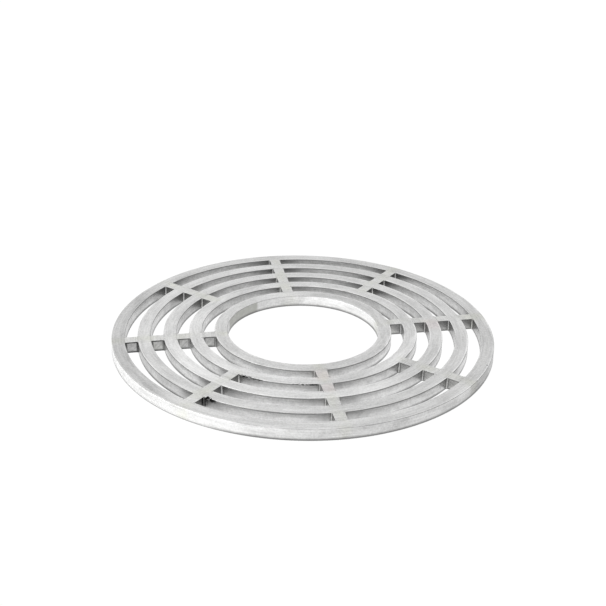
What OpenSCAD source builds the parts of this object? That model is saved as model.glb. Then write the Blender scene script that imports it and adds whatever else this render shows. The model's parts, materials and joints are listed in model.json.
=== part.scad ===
// Round floor drain grate: five concentric flat rings, held one slot apart by short
// bars that line up into eight spokes and are welded in flush with the rings.
// Millimetres, +Z up. The origin is the centre of the underside, and the full
// spokes lie along X and Y.

/* [Rings] */
// Outside diameter of the grate
outer_d = 300; // [280:1:400]
// Width of each ring, measured along a radius
ring_w = 10; // [6:0.5:12]
// Width of each slot between two rings
slot_w = 10; // [6:0.5:12]
// Thickness of the rings and the bars
thick = 9; // [5:0.5:15]
// Edge break around the rim and around the centre hole
edge_break = 0.5; // [0.2:0.1:1.5]

/* [Spokes] */
// Width of the bars that make up the spokes
bar_w = 9; // [5:0.5:12]
// Leg of the weld fillet in each slot corner
weld_leg = 1; // [0.5:0.1:2]

/* [Hidden] */
$fn = 180;
ring_count = 5;
slot_count = ring_count - 1;
spoke_count = 8;
spoke_step = 360 / spoke_count;
pitch = ring_w + slot_w;
outer_r = outer_d / 2;
reach = 1; // surplus length that a cutting body has beyond what it cuts
ring_names = ["outer_ring", "ring_2", "ring_3", "ring_4", "inner_ring"];
ring_colour = "gainsboro";
bar_colour = "silver";
weld_colour = "lightgrey";

// Radius of the outside and of the inside of ring i, where ring 0 is the rim
function ring_out(i) = outer_r - i * pitch;
function ring_in(i) = ring_out(i) - ring_w;

// Every other spoke stops at the fourth ring, so that the innermost slot has four openings
function bars_in(spoke) = spoke % 2 == 0 ? slot_count : slot_count - 1;

// Names give each spoke's bearing, and count its bars inwards from the rim
function digits(n) = n < 10 ? str("00", n) : n < 100 ? str("0", n) : str(n);
function spoke_name(spoke) = str("spoke_", digits(spoke * spoke_step));
function bar_name(spoke, slot) = str(spoke_name(spoke), "_bar_", slot + 1);
function weld_name(spoke) = str(spoke_name(spoke), "_welds");

bar_names = [for (k = [0:spoke_count - 1]) for (s = [0:bars_in(k) - 1]) bar_name(k, s)];
weld_names = [for (k = [0:spoke_count - 1]) weld_name(k)];

// A flat ring. The rim's outer edges and the centre hole's edges are broken, and the rest are square.
module ring(i) {
    out_break = i == 0 ? edge_break : 0;
    in_break = i == ring_count - 1 ? edge_break : 0;
    color(ring_colour)
        rotate_extrude()
            difference() {
                translate([ring_in(i), 0])
                    square([ring_w, thick]);
                for (z = [0, thick]) {
                    edge_cut(ring_out(i), z, out_break);
                    edge_cut(ring_in(i), z, in_break);
                }
            }
}

// The diamond that takes a 45 degree edge break off a ring's profile at radius r and height z
module edge_cut(r, z, size) {
    if (size > 0)
        translate([r, z])
            polygon([[size, 0], [0, size], [-size, 0], [0, -size]]);
}

// The space of slot s, between ring s and ring s + 1
module slot_space(s) {
    difference() {
        cylinder(r = ring_in(s), h = thick);
        translate([0, 0, -reach])
            cylinder(r = ring_out(s + 1), h = thick + 2 * reach);
    }
}

// One short bar, its ends curved to sit flat against the ring on each side
module spoke_bar(spoke, s) {
    color(bar_colour)
        rotate(spoke * spoke_step)
            intersection() {
                translate([ring_out(s + 1) - reach, -bar_w / 2, 0])
                    cube([slot_w + 2 * reach, bar_w, thick]);
                slot_space(s);
            }
}

// The upright weld fillet in one corner of slot s, where a bar's end meets a ring's wall of
// radius r. dir is 1 on the slot's inner wall, and -1 on its outer wall.
module weld_fillet(s, r, dir) {
    corner_x = sqrt(r * r - bar_w * bar_w / 4);
    intersection() {
        translate([0, bar_w / 2, 0])
            linear_extrude(height = thick)
                polygon([
                    [corner_x - dir * reach, 0],
                    [corner_x + dir * weld_leg, 0],
                    [corner_x - dir * reach, weld_leg + reach]
                ]);
        slot_space(s);
    }
}

// All the weld fillets of one spoke, four to a bar
module spoke_welds(spoke) {
    color(weld_colour)
        rotate(spoke * spoke_step)
            for (s = [0:bars_in(spoke) - 1])
                for (side = [0, 1])
                    mirror([0, side, 0]) {
                        weld_fillet(s, ring_out(s + 1), 1);
                        weld_fillet(s, ring_in(s), -1);
                    }
}

for (i = [0:ring_count - 1])
    ring(i);
for (k = [0:spoke_count - 1])
    for (s = [0:bars_in(k) - 1])
        spoke_bar(k, s);
for (k = [0:spoke_count - 1])
    spoke_welds(k);
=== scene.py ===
# Looks for the round floor drain grate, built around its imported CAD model. Metres, +Z up.
# Every ring and bar, and each spoke's set of welds, is a closed mesh of its own. Its edges are rounded
# along the slots and left square where another piece meets them, so that the joints close up as
# ground-flush welds do.
#
# A bearing is an angle around the axis, counted from +X towards +Y, in degrees unless said otherwise.
# Rings are numbered inwards from the rim, 0 to 4, and a slot has the number of the ring outside it.

import json
import math

import bmesh
import bpy
from mathutils import Matrix, Vector, noise


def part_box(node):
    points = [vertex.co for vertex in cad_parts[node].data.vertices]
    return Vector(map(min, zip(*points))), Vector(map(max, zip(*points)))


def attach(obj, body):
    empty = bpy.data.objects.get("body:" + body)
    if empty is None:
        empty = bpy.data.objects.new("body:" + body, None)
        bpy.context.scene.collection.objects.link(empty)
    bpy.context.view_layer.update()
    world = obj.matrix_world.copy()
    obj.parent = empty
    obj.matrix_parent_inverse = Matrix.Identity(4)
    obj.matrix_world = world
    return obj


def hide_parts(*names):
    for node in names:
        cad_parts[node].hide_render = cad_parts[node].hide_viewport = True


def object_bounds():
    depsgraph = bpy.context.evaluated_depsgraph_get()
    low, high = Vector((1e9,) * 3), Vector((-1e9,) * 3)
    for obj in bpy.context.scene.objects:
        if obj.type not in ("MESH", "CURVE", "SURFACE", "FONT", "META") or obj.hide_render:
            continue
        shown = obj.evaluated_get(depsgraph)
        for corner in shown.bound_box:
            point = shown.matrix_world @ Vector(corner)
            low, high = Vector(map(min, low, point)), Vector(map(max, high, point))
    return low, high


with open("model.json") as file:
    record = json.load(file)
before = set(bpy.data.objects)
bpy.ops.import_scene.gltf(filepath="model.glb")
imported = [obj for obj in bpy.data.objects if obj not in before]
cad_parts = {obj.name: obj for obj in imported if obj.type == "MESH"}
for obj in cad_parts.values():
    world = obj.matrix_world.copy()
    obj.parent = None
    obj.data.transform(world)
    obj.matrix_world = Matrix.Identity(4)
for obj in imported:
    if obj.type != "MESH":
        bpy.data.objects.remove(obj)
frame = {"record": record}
cad_low, cad_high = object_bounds()

MM = 0.001
DEG = math.pi / 180

# ---------------------------------------------------------------- sizes, from the frame

RING_NAMES = ["outer_ring", "ring_2", "ring_3", "ring_4", "inner_ring"]
SPOKES = 8
SLOTS = len(RING_NAMES) - 1
mounts = {mount["name"]: mount["dims"] for mount in frame["record"]["mounts"] if mount["dims"]}
rim_r = mounts["rim"]["r_mm"] * MM
bore_r = mounts["centre_hole"]["r_mm"] * MM
thick = cad_high.z
pitch = (rim_r - bore_r) / (SLOTS + 0.5)
ring_w = pitch / 2
ring_out = [rim_r - i * pitch for i in range(len(RING_NAMES))]
ring_in = [r - ring_w for r in ring_out]
bar_low, bar_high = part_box("spoke_000_bar_1")
bar_w = bar_high.y - bar_low.y
half_bar = bar_w / 2
half_slot = (pitch - ring_w) / 2

FILLET_R = 1.0 * MM      # the weld fillet's concave radius in a slot's corner
SLOT_EDGE = 0.3 * MM     # rounding of the edges along the slots
SLOT_EDGE_VARIES = 0.7   # how much of that rounding comes and goes between the corners
BROKEN_EDGE = 0.5 * MM   # rounding of the rim's and the centre hole's edges
EDGE_STEPS = 3           # faces across a rounded edge
FLAT_STEPS = 3           # faces across a ring's flat top and bottom
ARC_STEP = 0.8 * DEG     # spacing of a ring's cross-sections away from the corners
CORNER_STEPS = 9         # cross-sections across one corner fillet
CORNER_REACH = 1.15      # how far they reach from the bar's face, in fillet radii
BAR_CORNER_REACH = 1.2   # the same for a bar's cross-sections, from the ring's wall
FILLET_STEPS = 8         # faces around one corner fillet
BAR_COLUMNS = 6          # faces across a bar's flat top

# Places where the cutting left the top edge of a slot ragged: the ring, the bearings where the
# raggedness starts and ends, and how deep it bites at most
RAGGED = [
    (1, 227.6, 231.0, 2.3 * MM),
    (3, 228.6, 240.0, 1.3 * MM),
    (3, 256.0, 265.5, 0.9 * MM),
]
RAGGED_STEP = 0.12 * DEG   # spacing of a ring's cross-sections in a ragged place
RAGGED_ONSET = 0.4         # degrees over which a ragged place sets in
CHIPS_PER_DEGREE = 1.9
CHIP_PATTERN = 10.7        # where the noise that makes the chips is read
LEAST_CHIP = 0.15          # how deep the bite stays between two chips
LEAST_BITE = 0.2           # how deep it stays at the end of a ragged place

# Stretches of ring tops that are duller or brighter than the rest: the ring, the bearing in the
# middle of the stretch, how far it reaches to each side, and the change
TONES = [
    (0, 180, 30, -0.13),
    (0, 75, 50, -0.05),
    (0, 352, 15, -0.05),
    (1, 70, 15, -0.05),
    (2, 240, 50, 0.09),
    (3, 200, 45, 0.05),
    (3, 320, 20, 0.07),
    (4, 40, 25, -0.07),
    (4, 280, 15, -0.05),
]
TONE_FADE = 16   # degrees over which such a stretch fades out

# Where painted shade lies on the slots' walls: the bearing, how far it reaches to each side, and how
# dark it is
SLOT_SHADE_STRETCHES = [
    (350, 12, 0.85),
    (45, 14, 0.95),
    (90, 14, 0.85),
    (137, 13, 0.85),
    (229, 9, 0.90),
    (273, 10, 0.50),
    (311, 11, 0.40),
]
SLOT_SHADE_FADE = 9      # degrees over which it fades out
LEAST_SLOT_SHADE = 0.12  # how much of it lies everywhere else

# Marks on the tops: the radius, the bearing and the size
PINK_SPOTS = [
    (77 * MM, 269, 12 * MM),
    (104 * MM, 355, 13 * MM),
    (96 * MM, 270, 9 * MM),
]
PIT = (148.6 * MM, 326.8, 0.9 * MM)

BY_A_WELD = 3   # a ragged place that starts within this many degrees of a spoke burnt the weld too

# Stretches of walls and edges that stand out: the bearing in the middle, how far the stretch reaches
# to each side, and how far it takes to fade out
# a painted reflection of a dark card on the bore's wall
DARK_CARD_IN_BORE = (139, 19, 2.5)
# painted light on the bore's wall that faces the light
LIT_BORE = (42, 25, 30)
# painted light on the rim's side that faces the light
LIT_RIM = (215, 22, 30)
# painted shade on the rim's side away from the light
SHADED_RIM = (345, 18, 30)
# where the painted contact shadow at the rim's foot is faint, on its lit side
LIT_RIM_FOOT = (205, 20, 25)
DULL_SLOTS = (199, 8, 14)
HIGHLIGHTED_LIPS = (20, 50, 40)   # where the painted highlight along the slots' top edges is brightest
BLACK_BARS = (180, 4, 1)   # the spoke whose bars have black edges

# Shades of the steel, from 0 to 1, and changes to them
FACE_SHADE = 0.65          # ring and bar faces
RING_WALL_SHADE = 0.74     # the slots' walls on the rings
BAR_WALL_SHADE = 0.70      # the same on the bars
WELD_FACE_SHADE = 0.66
WELD_WALL_SHADE = 0.78
INNER_WALL_SHADE = -0.14  # painted shade: a ring's inner wall against its outer one
DULL_SLOT_CHANGE = -0.09
# painted shade on the rim's side away from the light
SHADED_RIM_CHANGE = -0.17
LIT_CHANGE = 0.20       # painted light on the rim's and the bore's walls that face the light
EDGE_SHADE_CHANGE = -0.22        # painted shade on rounded edges against the faces beside them
SMUDGE_CHANGE = -0.07      # smudges on the turned walls
WARMTH = 0.995             # blue against red and green in bare steel

STRAW_TINT = (0.95, 0.957, 0.90)
PINK_TINT = (1.0, 0.955, 0.955)
# colour of the painted reflection of a dark card in the bore
DARK_CARD_COLOUR = (0.42, 0.425, 0.40)
# grey of the painted shade on the walls
WALL_SHADE_GREY = 0.13
PIT_SHADE = 0.05
OUTLINE_SHADE = 0.02
SCORCH_SHADE = 0.012

# Roughness of the steel, from 0 to 1, and changes to it
SMOOTHEST = 0.30
ROUGHEST = 0.44
TURNED_ROUGHER = 0.08      # what the cutting tool's marks add on the rim and in the bore
WELD_SMOOTHER = 0.08
WELD_SHADE_SHARE = 0.35           # painted shade on the welds against that on the walls beside them

BUMP_STRENGTH = 0.55
BUMP_DEPTH = 0.03 * MM


def bars_in(spoke):
    """How many bars a spoke has: every other spoke stops at the fourth ring."""
    return SLOTS - spoke % 2


def bar_offset(slot, bearing):
    """Angle from a bearing to the axis of the nearest bar in that slot."""
    step = 360 * DEG / SPOKES if slot < SLOTS - 1 else 720 * DEG / SPOKES
    return abs((bearing + step / 2) % step - step / 2)


# ---------------------------------------------------------------- the shape of an edge

def corner(wall_r, side):
    """Centre of the fillet arc beside a bar that lies along +X, at a slot's outer wall where side is 1
    and at its inner wall where side is -1."""
    y = half_bar + FILLET_R
    reach = wall_r - side * FILLET_R
    return math.sqrt(reach * reach - y * y), y


def wall_radius(wall_r, side, offset, depth):
    """Radius of a slot's wall, cut back by depth, or wall_r itself where a bar or a weld meets it."""
    x, y = corner(wall_r, side)
    if offset >= math.atan2(y, x):
        return wall_r + side * depth
    along = x * math.cos(offset) + y * math.sin(offset)
    under = along * along - x * x - y * y + (FILLET_R + depth) ** 2
    if under <= 0:
        return wall_r
    radius = along + side * math.sqrt(under)
    return max(radius, wall_r) if side > 0 else min(radius, wall_r)


def edge_rows(size):
    """(cut-back, height) up a wall, from the rounded edge at the underside to the one at the top."""
    turns = [k / EDGE_STEPS * math.pi / 2 for k in range(EDGE_STEPS + 1)]
    rounding = [(size * (1 - math.cos(t)), size * (1 - math.sin(t))) for t in turns]
    return [(d, z) for d, z in reversed(rounding)] + [(d, thick - z) for d, z in rounding]


def smooth(low, high, value):
    """0 below low, 1 above high, and an eased ramp between."""
    t = min(max((value - low) / (high - low), 0), 1)
    return t * t * (3 - 2 * t)


def raggedness(ring, bearing):
    """How deep a ragged place bites into the outer top edge of a ring at a bearing."""
    deepest = 0
    for where, start, end, depth in RAGGED:
        if where == ring and start * DEG < bearing % (2 * math.pi) < end * DEG:
            along = Vector((bearing / DEG * CHIPS_PER_DEGREE, where, CHIP_PATTERN))
            chip = smooth(-0.3, 0.4, noise.noise(along))
            chip = LEAST_CHIP + (1 - LEAST_CHIP) * chip
            into = smooth(start * DEG, (start + RAGGED_ONSET) * DEG, bearing)
            out = 1 - smooth((start + end) / 2 * DEG, end * DEG, bearing)
            out = LEAST_BITE + (1 - LEAST_BITE) * out
            deepest = max(deepest, depth * into * out * chip)
    return deepest


def slot_edge_size(wall_r, side, offset, bearing):
    """Rounding of a hand-dressed edge: even at the corners, and a little uneven between them."""
    x, y = corner(wall_r, side)
    away = smooth(0, 6 * MM, (offset - math.atan2(y, x)) * wall_r)
    spot = Vector((math.cos(bearing) * 9, math.sin(bearing) * 9, wall_r * 900 + side))
    return SLOT_EDGE * (1 + SLOT_EDGE_VARIES * away * noise.noise(spot))


# ---------------------------------------------------------------- meshes

def make_object(name, vertices, faces):
    mesh = bpy.data.meshes.new(name)
    mesh.from_pydata(vertices, [], faces)
    shape = bmesh.new()
    shape.from_mesh(mesh)
    bmesh.ops.recalc_face_normals(shape, faces=shape.faces)
    shape.to_mesh(mesh)
    shape.free()
    mesh.polygons.foreach_set("use_smooth", [True] * len(mesh.polygons))
    made = bpy.data.objects.new(name, mesh)
    bpy.context.scene.collection.objects.link(made)
    flatten = made.modifiers.new("flat_faces", "WEIGHTED_NORMAL")
    flatten.weight = 100
    return made


def tube_faces(count, around, closed, first=0):
    """Faces between count loops of around points each, with two end caps unless it closes on itself."""
    faces = []
    for i in range(count if closed else count - 1):
        for j in range(around):
            a, b = i * around, (i + 1) % count * around
            k = (j + 1) % around
            faces.append([first + a + j, first + a + k, first + b + k, first + b + j])
    if not closed:
        faces.append([first + j for j in range(around)])
        faces.append([first + (count - 1) * around + j for j in range(around)])
    return faces


def section_bearings(ring):
    """Bearings of a ring's cross-sections, close together at the corners and in the ragged places."""
    turn = 2 * math.pi
    bearings = {round(k * ARC_STEP, 6) for k in range(int(turn / ARC_STEP) + 1)}
    for wall_r, side, slot in ((ring_in[ring], 1, ring), (ring_out[ring], -1, ring - 1)):
        if not 0 <= slot < SLOTS:
            continue
        stops = [bar_w * k / BAR_COLUMNS for k in range(BAR_COLUMNS // 2 + 1)]
        reach = FILLET_R * CORNER_REACH
        stops += [half_bar + reach * k / CORNER_STEPS for k in range(CORNER_STEPS + 1)]
        offsets = [math.asin(y / wall_r) for y in stops]
        for spoke in range(SPOKES):
            if slot < bars_in(spoke):
                axis = spoke * turn / SPOKES
                bearings |= {round((axis + sign * o) % turn, 6) for o in offsets for sign in (-1, 1)}
    for where, start, end, _ in RAGGED:
        if where == ring:
            steps = int((end - start) * DEG / RAGGED_STEP)
            bearings |= {round(start * DEG + k * RAGGED_STEP, 6) for k in range(steps)}
    ordered = sorted(b for b in bearings if b < turn - 1e-5)
    kept = ordered[:1]
    for b in ordered[1:]:
        if b - kept[-1] > 1e-4:
            kept.append(b)
    return kept


def wall_points(ring, side, bearing):
    """(r, z) up the inner wall (side 1) or the outer wall (side -1) of a ring."""
    wall_r, slot = (ring_in[ring], ring) if side > 0 else (ring_out[ring], ring - 1)
    if not 0 <= slot < SLOTS:
        return [(wall_r + side * d, z) for d, z in edge_rows(BROKEN_EDGE)]
    offset = bar_offset(slot, bearing)
    size = slot_edge_size(wall_r, side, offset, bearing)
    rows = [(wall_radius(wall_r, side, offset, d), z) for d, z in edge_rows(size)]
    bite = raggedness(ring, bearing) if side < 0 else 0
    if bite > size:   # a chip is a straight slope in place of the rounded top edge
        up = [k / EDGE_STEPS for k in range(EDGE_STEPS + 1)]
        rows[EDGE_STEPS + 1:] = [(wall_r - bite * s, thick - bite * (1 - s)) for s in up]
    return rows


def make_ring(ring):
    vertices = []
    bearings = section_bearings(ring)
    for bearing in bearings:
        inner = wall_points(ring, 1, bearing)
        outer = wall_points(ring, -1, bearing)
        shares = [k / FLAT_STEPS for k in range(1, FLAT_STEPS)]
        top = [(inner[-1][0] * (1 - s) + outer[-1][0] * s, thick) for s in shares]
        bottom = [(inner[0][0] * s + outer[0][0] * (1 - s), 0) for s in shares]
        for r, z in inner + top + outer[::-1] + bottom:
            vertices.append((r * math.cos(bearing), r * math.sin(bearing), z))
    around = len(vertices) // len(bearings)
    return make_object(RING_NAMES[ring] + "_piece", vertices, tube_faces(len(bearings), around, True))


def bar_half_width(x, inner_r, outer_r, depth):
    """Half the width of a bar at x along it, cut back by depth, but whole where a weld meets it."""
    for wall_r, side in ((outer_r, 1), (inner_r, -1)):
        cx, cy = corner(wall_r, side)
        if side * (x - cx) > 0:
            under = (FILLET_R + depth) ** 2 - (x - cx) ** 2
            return min(cy - math.sqrt(under), half_bar) if under > 0 else half_bar
    return half_bar - depth


def bar_section(station, inner_r, outer_r):
    """Points around a bar at a station from 0, its inner end, to 1, its outer end."""
    def place(y, z):
        start = math.sqrt(inner_r * inner_r - y * y)
        end = math.sqrt(outer_r * outer_r - y * y)
        return start + (end - start) * station, y, z

    x = place(half_bar, 0)[0]
    side = [(bar_half_width(x, inner_r, outer_r, d), z) for d, z in edge_rows(SLOT_EDGE)]
    shares = [1 - 2 * k / BAR_COLUMNS for k in range(1, BAR_COLUMNS)]
    top = [(side[-1][0] * s, thick) for s in shares]
    bottom = [(-side[0][0] * s, 0) for s in shares]
    left = [(-y, z) for y, z in reversed(side)]
    return [place(y, z) for y, z in side + top + left + bottom]


def bar_stations():
    """Stations along a bar, close together beside the welds."""
    reach = FILLET_R * BAR_CORNER_REACH / (2 * half_slot)
    near = [reach * k / CORNER_STEPS for k in range(CORNER_STEPS + 1)]
    return near + [0.25, 0.5, 0.75] + [1 - s for s in reversed(near)]


def make_bar(spoke, slot):
    spin = Matrix.Rotation(spoke * 2 * math.pi / SPOKES, 3, "Z")
    vertices = []
    stations = bar_stations()
    for station in stations:
        for point in bar_section(station, ring_out[slot + 1], ring_in[slot]):
            vertices.append(spin @ Vector(point))
    around = len(vertices) // len(stations)
    name = "spoke_%03d_bar_%d" % (spoke * 360 // SPOKES, slot + 1)
    return make_object(name + "_piece", vertices, tube_faces(len(stations), around, False))


def fillet_loop(wall_r, side, depth, z):
    """One weld fillet's outline at a height: its corner, then its concave arc from ring to bar."""
    cx, cy = corner(wall_r, side)
    radius = FILLET_R + depth
    reach = math.hypot(cx, cy)
    cosine = (wall_r ** 2 + reach ** 2 - radius ** 2) / (2 * wall_r * reach)
    turn = math.acos(min(cosine, 1))
    on_ring = math.atan2(cy, cx) - turn
    start = math.atan2(wall_r * math.sin(on_ring) - cy, wall_r * math.cos(on_ring) - cx)
    end = math.atan2(-FILLET_R, side * math.sqrt(radius ** 2 - FILLET_R ** 2))
    loop = [(math.sqrt(wall_r ** 2 - half_bar ** 2), half_bar, z)]
    for k in range(FILLET_STEPS + 1):
        angle = start + (end - start) * k / FILLET_STEPS
        loop.append((cx + radius * math.cos(angle), cy + radius * math.sin(angle), z))
    return loop


def make_welds(spoke):
    vertices, faces = [], []
    spin = Matrix.Rotation(spoke * 2 * math.pi / SPOKES, 3, "Z")
    rows = edge_rows(SLOT_EDGE)
    for slot in range(bars_in(spoke)):
        for wall_r, side in ((ring_out[slot + 1], -1), (ring_in[slot], 1)):
            for flip in (1, -1):
                faces += tube_faces(len(rows), FILLET_STEPS + 2, False, len(vertices))
                for depth, z in rows:
                    for x, y, height in fillet_loop(wall_r, side, depth, z):
                        vertices.append(spin @ Vector((x, y * flip, height)))
    return make_object("spoke_%03d_welds_piece" % (spoke * 360 // SPOKES), vertices, faces)


# ---------------------------------------------------------------- materials

class Graph:
    """A node tree, built with short calls. A value that is a socket is linked, and any other is set."""

    def __init__(self, tree):
        self.tree = tree
        tree.nodes.clear()

    def put(self, kind, inputs=None, **settings):
        node = self.tree.nodes.new(kind)
        for name, value in settings.items():
            setattr(node, name, value)
        for name, value in (inputs or {}).items():
            self.set(node.inputs[name], value)
        return node

    def set(self, socket, value):
        if isinstance(value, bpy.types.NodeSocket):
            self.tree.links.new(value, socket)
        else:
            socket.default_value = value

    def math(self, operation, a, b=0.0, c=0.0, clamp=False):
        node = self.put("ShaderNodeMath", {0: a, 1: b, 2: c}, operation=operation, use_clamp=clamp)
        return node.outputs[0]

    def ramp(self, value, low, high, to_low=0.0, to_high=1.0):
        """value mapped smoothly from low..high to to_low..to_high, and held beyond them."""
        inputs = {"Value": value, "From Min": low, "From Max": high, "To Min": to_low, "To Max": to_high}
        return self.put("ShaderNodeMapRange", inputs, interpolation_type="SMOOTHSTEP").outputs["Result"]

    def noise(self, vector, scale, detail=2.0, roughness=0.5):
        inputs = {"Vector": vector, "Scale": scale, "Detail": detail, "Roughness": roughness}
        return self.put("ShaderNodeTexNoise", inputs, noise_dimensions="3D").outputs[0]

    def mix(self, factor, a, b, blend="MIX"):
        node = self.put("ShaderNodeMix", {0: factor, 6: a, 7: b}, data_type="RGBA", blend_type=blend)
        return node.outputs[2]

    def multiply(self, factor, a, b):
        return self.mix(factor, a, b, "MULTIPLY")


def colour(r, g, b):
    return (r, g, b, 1.0)


def grey(value):
    return colour(value, value, value * WARMTH)


class SteelGraph(Graph):
    """The nodes that every steel finish shares: where a point is on the grate, and the patterns there.
    off_spoke is the distance along the arc to the nearest spoke's middle, from_outside the distance
    inwards from the outer wall of the ring that the point is on or of the ring outside its slot."""

    def __init__(self, tree):
        super().__init__(tree)
        self.place = self.put("ShaderNodeTexCoord").outputs["Object"]
        x, y, self.z = self.put("ShaderNodeSeparateXYZ", {0: self.place}).outputs
        flat = self.put("ShaderNodeCombineXYZ", {0: x, 1: y}).outputs[0]
        self.radius = self.put("ShaderNodeVectorMath", {0: flat}, operation="LENGTH").outputs["Value"]
        facing = self.put("ShaderNodeVectorMath", {0: flat}, operation="NORMALIZE").outputs[0]
        self.fx, self.fy, _ = self.put("ShaderNodeSeparateXYZ", {0: facing}).outputs
        self.bearing = self.math("ARCTAN2", y, x)
        innermost = self.math("LESS_THAN", self.radius, ring_in[SLOTS - 1] + ring_w / 2)
        step = self.math("MULTIPLY_ADD", innermost, math.pi / SPOKES, math.pi / SPOKES)
        folded = self.math("WRAP", self.bearing, step, self.math("MULTIPLY", step, -1.0))
        self.off_spoke = self.math("MULTIPLY", self.math("ABSOLUTE", folded), self.radius)
        normal = self.put("ShaderNodeNewGeometry").outputs["Normal"]
        normal_z = self.put("ShaderNodeSeparateXYZ", {0: normal}).outputs[2]
        self.flatness = self.math("ABSOLUTE", normal_z)
        self.upright = self.ramp(self.flatness, 0.35, 0.8, 1.0, 0.0)
        self.from_outside = self.math("WRAP", self.math("SUBTRACT", rim_r, self.radius), pitch, 0.0)
        self.turned_bore = self.ramp(self.radius, bore_r + 1 * MM, bore_r + 2 * MM, 1.0, 0.0)
        self.turned_rim = self.ramp(self.radius, rim_r - 2 * MM, rim_r - 1 * MM)
        self.turned = self.math("ADD", self.turned_rim, self.turned_bore, clamp=True)
        self.in_slot = self.times(self.upright, self.rest(self.turned))
        self.flat_top = self.rest(self.upright)
        from_middle = self.math("SUBTRACT", self.from_outside, ring_w + half_slot)
        self.off_slot_middle = self.math("ABSOLUTE", from_middle)
        self.depth = self.math("SUBTRACT", thick, self.z)
        self.hairlines = self.streaks(16.0, 2600.0, 3.0)
        self.lines = self.streaks(7.0, 900.0, 2.0)
        self.clouds = self.noise(self.place, 34.0, 3.0, 0.55)
        self.mottle = self.noise(self.place, 260.0, 4.0, 0.65)
        uneven = self.math("MULTIPLY_ADD", self.clouds, 14 * MM, self.off_spoke)
        uneven = self.math("MULTIPLY_ADD", self.mottle, 6 * MM, uneven)
        self.on_spoke = self.ramp(uneven, 9 * MM, 19 * MM, 1.0, 0.0)

    def streaks(self, around, across, detail):
        """Noise drawn out around the axis: around patches to a radian, and across lines to a metre."""
        parts = {0: self.math("MULTIPLY", self.fx, around), 1: self.math("MULTIPLY", self.fy, around)}
        parts[2] = self.math("MULTIPLY", self.math("ADD", self.radius, self.z), across)
        return self.noise(self.put("ShaderNodeCombineXYZ", parts).outputs[0], 1.0, detail, 0.6)

    def times(self, first, *others):
        for other in others:
            first = self.math("MULTIPLY", first, other)
        return first

    def rest(self, mask):
        """What a mask leaves: 1 where it is 0, and 0 where it is 1."""
        return self.math("SUBTRACT", 1.0, mask)

    def beyond_bar(self, start, end, to_low, to_high):
        """A ramp over the distance along the arc from a bar's face."""
        return self.ramp(self.off_spoke, half_bar + start, half_bar + end, to_low, to_high)

    def most(self, masks):
        strongest = masks[0]
        for mask in masks[1:]:
            strongest = self.math("MAXIMUM", strongest, mask)
        return strongest

    def sector(self, middle, reach, soft):
        """1 within reach degrees of a bearing, faded out over soft degrees beyond it."""
        off = self.math("WRAP", self.math("SUBTRACT", self.bearing, middle * DEG), math.pi, -math.pi)
        return self.ramp(self.math("ABSOLUTE", off), reach * DEG, (reach + soft) * DEG, 1.0, 0.0)

    def spot(self, radius, bearing, size):
        """1 at a point on the top and 0 beyond size from it."""
        centre = (radius * math.cos(bearing * DEG), radius * math.sin(bearing * DEG), thick)
        away = self.put("ShaderNodeVectorMath", {0: self.place, 1: centre}, operation="DISTANCE")
        return self.ramp(away.outputs["Value"], size * 0.3, size, 1.0, 0.0)


def painted_shade_lines(g):
    """Painted shade in the slots, from 0 to 1: a broken dark line under each top edge, and lines down
    the corners.
    """
    uneven_depth = g.math("MULTIPLY_ADD", g.mottle, -1.2 * MM, g.depth)
    on_bar = g.beyond_bar(0.2 * MM, 0.6 * MM, 1.0, 0.0)
    under_top = g.ramp(uneven_depth, -0.1 * MM, 0.7 * MM, 0.65, 0.0)
    under_top = g.times(under_top, g.ramp(on_bar, 0.0, 1.0, 1.0, 1.35))
    bar_end = g.ramp(g.off_slot_middle, half_slot - 2.2 * MM, half_slot - 1.0 * MM, 0.0, 0.85)
    beside_weld = g.beyond_bar(1.0 * MM, 2.6 * MM, 0.6, 0.0)
    return g.most([under_top, g.times(on_bar, bar_end), g.times(beside_weld, g.rest(on_bar))])


def painted_slot_shade(g):
    """Painted shade on the slots' walls, from 0 to 1, darkest near the spokes, the top and the rim."""
    stretches = [g.times(g.sector(middle, reach, SLOT_SHADE_FADE), most) for middle, reach, most in SLOT_SHADE_STRETCHES]
    amount = g.math("MAXIMUM", g.most(stretches), LEAST_SLOT_SHADE)
    near_spoke = g.ramp(g.off_spoke, 6 * MM, 30 * MM, 1.0, 0.2)
    uneven_depth = g.math("MULTIPLY_ADD", g.mottle, -3 * MM, g.depth)
    near_top = g.ramp(uneven_depth, -1.5 * MM, 9 * MM, 0.88, 0.42)
    near_rim = g.ramp(g.radius, bore_r + ring_w, bore_r + 5 * ring_w, 0.6, 1.0)
    return g.times(amount, near_spoke, near_top, near_rim)


def painted_wall_shade(g):
    """How dark the walls are painted, from 0 to 1: painted shade in the slots, and a painted contact
    shadow at the foot everywhere, fainter on the rim's lit side.
    """
    uneven_height = g.math("MULTIPLY_ADD", g.mottle, 0.6 * MM, g.z)
    # painted contact shadow along the foot of every wall
    foot = g.ramp(uneven_height, 0.2 * MM, 3.2 * MM, 0.95, 0.0)
    lit_rim_foot = g.times(g.sector(*LIT_RIM_FOOT), g.rest(g.in_slot))
    foot = g.times(foot, g.ramp(lit_rim_foot, 0.0, 1.0, 1.0, 0.25))
    in_slots = g.math("MAXIMUM", painted_shade_lines(g), painted_slot_shade(g))
    return g.math("MAXIMUM", g.times(g.in_slot, in_slots), foot)


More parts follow.
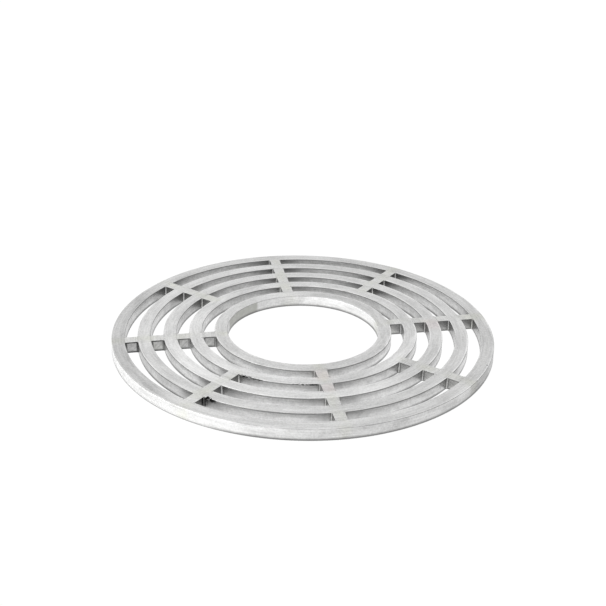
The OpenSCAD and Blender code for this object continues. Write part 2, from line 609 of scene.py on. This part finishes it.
def scorch(g):
    """Black scale on the ragged places, from 0 to 1, running down the wall below them. It covers the
    weld too where a ragged place starts beside one."""
    masks = []
    for ring, start, end, depth in RAGGED:
        off_wall = g.math("ABSOLUTE", g.math("SUBTRACT", g.radius, ring_out[ring]))
        near = g.ramp(off_wall, depth, depth + 0.3 * MM, 1.0, 0.0)
        height = g.math("SUBTRACT", g.z, thick + 0.8 * depth)
        height = g.math("MULTIPLY_ADD", g.mottle, 4 * depth, height)
        stretch = g.sector((start + end) / 2 - 0.6, (end - start) / 2 + 0.6, 0.8)
        masks.append(g.times(stretch, near, g.ramp(height, 0.0, depth)))
        from_spoke = start % (360 / SPOKES)
        if from_spoke < BY_A_WELD:
            weld_middle = (half_bar + FILLET_R / 2) / ring_out[ring] / DEG
            on_weld = g.sector(start - from_spoke + weld_middle, 0.2, 0.5)
            masks.append(g.times(on_weld, near, g.ramp(g.mottle, 0.3, 0.55, 0.6, 0.85)))
    off_the_flat = g.ramp(g.flatness, 0.93, 0.985, 1.0, 0.0)
    return g.times(g.most(masks), off_the_flat, g.ramp(g.mottle, 0.25, 0.5, 0.6, 1.0))


def black_outline(g):
    """Black lines along the edges of the bars of one spoke, most of all of its outermost bar, from 0 to
    1.
    """
    edge = 0.75 * MM
    soft = 0.35 * MM
    on_bar = g.beyond_bar(0.1 * MM, 0.3 * MM, 1.0, 0.0)
    top = g.ramp(g.depth, edge, edge + soft, 1.0, 0.0)
    foot = g.ramp(g.z, edge, edge + soft, 1.0, 0.0)
    ends = g.ramp(g.off_slot_middle, half_slot - edge - soft, half_slot - edge)
    beside = g.times(g.beyond_bar(1.2 * MM, 3.5 * MM, 0.9, 0.0), g.rest(on_bar))
    lines = g.math("MAXIMUM", g.times(on_bar, g.most([top, foot, ends])), beside)
    how_black = g.ramp(g.radius, ring_out[3], ring_out[1], 0.2, 0.9)
    return g.times(g.in_slot, lines, g.sector(*BLACK_BARS), how_black)


def painted_edge_highlight(g):
    """A painted highlight along the slots' top edges: how much brighter they are, most of all each
    ring's outer one.
    """
    outer_lip = g.ramp(g.from_outside, 0.5 * MM, 1.5 * MM, 0.09, 0.0)
    inner_lip = g.ramp(g.from_outside, ring_w - 1.2 * MM, ring_w - 0.4 * MM, 0.0, 0.05)
    clear_of_spoke = g.beyond_bar(0.0, 2 * MM, 0.0, 1.0)
    lips = g.times(g.math("ADD", outer_lip, inner_lip), clear_of_spoke, g.flat_top)
    broken = g.ramp(g.lines, 0.3, 0.6, 0.3, 1.0)
    return g.times(lips, broken, g.ramp(g.sector(*HIGHLIGHTED_LIPS), 0.0, 1.0, 1.0, 2.4))


def face_tone(g):
    """Changes in tone over the brushed faces: bands from ring to ring, lines, specks and stretches, a
    painted highlight along the slots' top edges, and painted shade on the rounded edges.
    """
    bands = g.streaks(2.2, 170.0, 3.0)
    speckle = g.noise(g.place, 700.0, 2.0, 0.7)
    tone = g.ramp(bands, 0.3, 0.7, -0.045, 0.045)
    tone = g.math("ADD", tone, g.ramp(g.lines, 0.25, 0.75, -0.06, 0.06))
    tone = g.math("ADD", tone, g.ramp(speckle, 0.25, 0.75, -0.065, 0.065))
    tone = g.math("ADD", tone, g.ramp(g.clouds, 0.3, 0.7, 0.03, -0.03))
    for ring, middle, reach, change in TONES:
        off_ring = g.math("ABSOLUTE", g.math("SUBTRACT", g.radius, ring_out[ring] - ring_w / 2))
        on_ring = g.ramp(off_ring, ring_w * 0.5, ring_w * 0.55, 1.0, 0.0)
        stretch = g.times(g.sector(middle, reach, TONE_FADE), on_ring, g.flat_top)
        tone = g.math("ADD", tone, g.times(stretch, change))
    tone = g.math("ADD", tone, painted_edge_highlight(g))
    # painted shade: the rounded edges darker than the faces beside them
    rounded_edge = g.times(g.ramp(g.flatness, 0.2, 0.45), g.ramp(g.flatness, 0.85, 0.97, 1.0, 0.0))
    return g.math("MULTIPLY_ADD", rounded_edge, EDGE_SHADE_CHANGE, tone)


def turned_tone(g, tone):
    """The tone with the smudges of the rim and the bore, and with painted light: a painted highlight on
    the rim's left side and the bore's far side, and painted shade on the rim's right side.
    """
    painted_rim_shade = g.times(g.sector(*SHADED_RIM), g.upright, g.turned_rim)
    tone = g.math("MULTIPLY_ADD", painted_rim_shade, SHADED_RIM_CHANGE, tone)
    painted_rim_light = g.times(g.sector(*LIT_RIM), g.upright, g.turned_rim)
    painted_bore_light = g.times(g.sector(*LIT_BORE), g.upright, g.turned_bore)
    tone = g.math("MULTIPLY_ADD", g.math("ADD", painted_rim_light, painted_bore_light), LIT_CHANGE, tone)
    smudges = g.ramp(g.noise(g.place, 90.0, 3.0, 0.55), 0.5, 0.66, 0.0, SMUDGE_CHANGE)
    return g.math("MULTIPLY_ADD", smudges, g.times(g.turned, g.upright), tone)


def slot_wall_tone(g, against_face):
    """How much brighter than a face the slots' walls are: mottled, with painted shade on the rings'
    inner walls, and duller in places.
    """
    inner_wall = g.ramp(g.from_outside, ring_w - 1.2 * MM, ring_w - 0.8 * MM)
    tone = g.math("ADD", g.ramp(g.mottle, 0.3, 0.7, -0.06, 0.06), against_face)
    tone = g.math("MULTIPLY_ADD", inner_wall, INNER_WALL_SHADE, tone)
    tone = g.math("MULTIPLY_ADD", g.sector(*DULL_SLOTS), DULL_SLOT_CHANGE, tone)
    return g.times(g.in_slot, tone)


def marked(g, face, shade_share):
    """The steel's colour with its heat tint, stains and scale, painted shade on the walls, black lines
    along one spoke's bars, and a painted reflection in the bore.
    """
    straw = g.times(g.on_spoke, g.ramp(g.noise(g.place, 60.0, 2.0), 0.35, 0.6, 0.1, 0.9))
    face = g.multiply(straw, face, colour(*STRAW_TINT))
    face = g.multiply(g.most([g.spot(*pink) for pink in PINK_SPOTS]), face, colour(*PINK_TINT))
    # a painted reflection of a dark card on the bore's wall
    card_reflection = g.times(g.sector(*DARK_CARD_IN_BORE), g.ramp(g.mottle, 0.2, 0.6, 0.6, 1.0))
    face = g.mix(g.times(g.upright, g.turned_bore, card_reflection), face, colour(*DARK_CARD_COLOUR))
    face = g.mix(g.times(g.upright, painted_wall_shade(g), shade_share), face, grey(WALL_SHADE_GREY))
    face = g.mix(black_outline(g), face, grey(OUTLINE_SHADE))
    face = g.mix(scorch(g), face, grey(SCORCH_SHADE))
    return g.mix(g.spot(*PIT), face, grey(PIT_SHADE))


def steel_colour(g, face_shade, wall_shade, shade_share):
    tone = turned_tone(g, face_tone(g))
    tone = g.math("ADD", tone, slot_wall_tone(g, wall_shade - face_shade))
    tone = g.math("ADD", tone, face_shade)
    blue = g.math("MULTIPLY", tone, WARMTH)
    bare = g.put("ShaderNodeCombineXYZ", {0: tone, 1: tone, 2: blue}).outputs[0]
    return marked(g, bare, shade_share)


def steel_roughness(g, smoothness):
    """Satin hairlines, cloudy handling marks, and a duller rim and bore."""
    roughness = g.ramp(g.hairlines, 0.2, 0.8, SMOOTHEST, ROUGHEST)
    roughness = g.math("ADD", roughness, g.ramp(g.clouds, 0.3, 0.7, -0.04, 0.05))
    roughness = g.math("MULTIPLY_ADD", g.times(g.turned, g.upright), TURNED_ROUGHER, roughness)
    return g.math("SUBTRACT", roughness, smoothness)


def steel_relief(g):
    """Fine relief: hairlines, weaker at the spokes, a grain that is stronger in the slots, and waves."""
    grain = g.noise(g.place, 1900.0, 2.0, 0.6)
    line_height = g.math("MULTIPLY", g.hairlines, g.ramp(g.on_spoke, 0.0, 1.0, 1.0, 0.35))
    grain_height = g.math("MULTIPLY", grain, g.ramp(g.in_slot, 0.0, 1.0, 0.35, 1.6))
    wave_height = g.math("MULTIPLY", g.mottle, 1.2)
    height = g.math("ADD", g.math("ADD", line_height, grain_height), wave_height)
    relief = {"Strength": BUMP_STRENGTH, "Distance": BUMP_DEPTH, "Height": height}
    return g.put("ShaderNodeBump", relief).outputs[0]


def steel(name, face_shade, wall_shade, smoothness=0.0, shade_share=1.0):
    """Satin steel: brushed around the axis, faintly tinted by heat where the spokes cross the rings,
    with painted shade on the slots' walls and a painted highlight along the slots' top edges."""
    made = bpy.data.materials.new(name)
    made.use_nodes = True
    g = SteelGraph(made.node_tree)
    look = {"Metallic": 1.0}
    look["Base Color"] = steel_colour(g, face_shade, wall_shade, shade_share)
    look["Roughness"] = steel_roughness(g, smoothness)
    look["Normal"] = steel_relief(g)
    shader = g.put("ShaderNodeBsdfPrincipled", look)
    g.put("ShaderNodeOutputMaterial", {"Surface": shader.outputs[0]})
    return made


# ---------------------------------------------------------------- the pieces

def dress(piece, node, finish):
    piece.data.materials.append(finish)
    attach(piece, "root")
    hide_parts(node)


ring_finish = steel("ring_steel", FACE_SHADE, RING_WALL_SHADE)
bar_finish = steel("bar_steel", FACE_SHADE, BAR_WALL_SHADE)
weld_finish = steel("weld_steel", WELD_FACE_SHADE, WELD_WALL_SHADE, WELD_SMOOTHER, WELD_SHADE_SHARE)
for ring, ring_name in enumerate(RING_NAMES):
    dress(make_ring(ring), ring_name, ring_finish)
for spoke in range(SPOKES):
    for slot in range(bars_in(spoke)):
        bar = make_bar(spoke, slot)
        dress(bar, bar.name.replace("_piece", ""), bar_finish)
    welds = make_welds(spoke)
    dress(welds, welds.name.replace("_piece", ""), weld_finish)

# ---------------------------------------------------------------- floor, light and camera

# The full spokes lie along X and Y, and the camera stands a little clockwise of the front
CAMERA_TURN = -11.31 * DEG     # bearing of the picture's rightward direction
CAMERA_ELEVATION = 26.63 * DEG
CAMERA_DISTANCE = 5.478 * rim_r
CAMERA_DIP = 25.25 * DEG       # how far below the horizon the camera looks
CAMERA_AIM = 0.041 * DEG       # how far left of the axis it looks
CAMERA_ROLL = 1.215 * DEG
LENS = 61.42                   # mm, on Blender's 36 mm sensor

# Brightness of the white room, and the bearing and elevation of the things that light the grate. These
# bearings are counted from the picture's right
FLOOR_W = 60.0
FLOOR_DROP = 0.02 * MM
FLOOR_GLOW = 1.02
FLOOR_SHADOW = 1.2 * MM  # how near to the grate the floor starts to darken
ROOM_GLOW = 0.985
ROOM_SLANT = 0.3         # how much brighter the picture's left side is
WINDOW = (205, 5)
WINDOW_GLOW = 4.0
SHADED_SIDE = (345, 5)
SHADE = -0.15
KEY_LIGHT = (215, 35)
KEY_DISTANCE = 1.2
KEY_SIZE = 0.5
KEY_POWER = 4.0


def make_camera():
    camera = bpy.data.objects.new("camera", bpy.data.cameras.new("camera"))
    camera.data.lens = LENS
    camera.data.clip_start = 0.01
    camera.data.clip_end = 50
    spin = Matrix.Rotation(CAMERA_TURN, 4, "Z")
    back = Vector((0, -math.cos(CAMERA_ELEVATION), math.sin(CAMERA_ELEVATION)))
    place = spin @ (back * CAMERA_DISTANCE) + Vector((0, 0, thick))
    heading = Matrix.Rotation(CAMERA_TURN + CAMERA_AIM, 4, "Z")
    dip = Matrix.Rotation(math.pi / 2 - CAMERA_DIP, 4, "X")
    roll = Matrix.Rotation(CAMERA_ROLL, 4, "Z")
    camera.matrix_world = Matrix.Translation(place) @ heading @ dip @ roll
    bpy.context.scene.collection.objects.link(camera)
    bpy.context.scene.camera = camera


def make_floor():
    """A plain white table that glows, with a painted contact shadow within a couple of millimetres of
    what stands on it. It can't be seen from below."""
    half = FLOOR_W / 2
    drop = -FLOOR_DROP
    corners = [(-half, -half, drop), (half, -half, drop), (half, half, drop), (-half, half, drop)]
    mesh = bpy.data.meshes.new("floor")
    mesh.from_pydata(corners, [], [[0, 1, 2, 3]])
    floor = bpy.data.objects.new("floor", mesh)
    bpy.context.scene.collection.objects.link(floor)
    finish = bpy.data.materials.new("floor_white")
    finish.use_nodes = True
    g = Graph(finish.node_tree)
    open_sky = g.put("ShaderNodeAmbientOcclusion", {"Distance": FLOOR_SHADOW}, samples=8).outputs["AO"]
    glow = g.ramp(open_sky, 0.35, 0.72, 0.3, FLOOR_GLOW)
    light = g.put("ShaderNodeEmission", {"Color": colour(1, 1, 1), "Strength": glow})
    clear = g.put("ShaderNodeBsdfTransparent")
    under = g.put("ShaderNodeNewGeometry").outputs["Backfacing"]
    both = g.put("ShaderNodeMixShader", {0: under, 1: light.outputs[0], 2: clear.outputs[0]})
    g.put("ShaderNodeOutputMaterial", {"Surface": both.outputs[0]})
    mesh.materials.append(finish)


def make_world():
    """A soft white room with a wide bright window low on the picture's left and a duller right side."""
    world = bpy.data.worlds.new("room")
    bpy.context.scene.world = world
    world.use_nodes = True
    g = Graph(world.node_tree)
    direction = g.put("ShaderNodeTexCoord").outputs["Generated"]

    def towards(bearing, elevation):
        """Cosine between the ray and a direction, whose bearing is counted from the picture's right."""
        spin = Matrix.Rotation(bearing * DEG + CAMERA_TURN, 3, "Z")
        aim = spin @ Vector((math.cos(elevation * DEG), 0, math.sin(elevation * DEG)))
        dot = g.put("ShaderNodeVectorMath", {0: direction, 1: aim}, operation="DOT_PRODUCT")
        return dot.outputs["Value"]

    room = g.math("MULTIPLY_ADD", towards(180, 0), ROOM_SLANT, ROOM_GLOW)
    height = g.put("ShaderNodeSeparateXYZ", {0: direction}).outputs[2]
    low = g.ramp(height, 0.02, 0.2, 1.0, 0.0)
    window = g.math("MULTIPLY", low, g.ramp(towards(*WINDOW), 0.1, 0.95, 0.0, WINDOW_GLOW))
    shade = g.ramp(towards(*SHADED_SIDE), 0.15, 0.95, 0.0, SHADE)
    strength = g.math("ADD", g.math("ADD", room, window), shade)
    glow = g.put("ShaderNodeBackground", {"Color": colour(1, 1, 1), "Strength": strength})
    g.put("ShaderNodeOutputWorld", {"Surface": glow.outputs[0]})


def make_softbox(name, bearing, elevation, distance, size, power):
    """A square area light that points at the grate. Its bearing is counted from the picture's right."""
    lamp = bpy.data.lights.new(name, "AREA")
    lamp.energy = power
    lamp.size = size
    box = bpy.data.objects.new(name, lamp)
    across = math.cos(elevation * DEG)
    bearing = bearing * DEG + CAMERA_TURN
    away = Vector((math.cos(bearing) * across, math.sin(bearing) * across, math.sin(elevation * DEG)))
    box.location = away * distance
    box.rotation_euler = away.to_track_quat("Z", "Y").to_euler()
    bpy.context.scene.collection.objects.link(box)


make_camera()
make_floor()
make_world()
make_softbox("key_left", *KEY_LIGHT, KEY_DISTANCE, KEY_SIZE, KEY_POWER)
bpy.context.scene.view_settings.view_transform = "Standard"
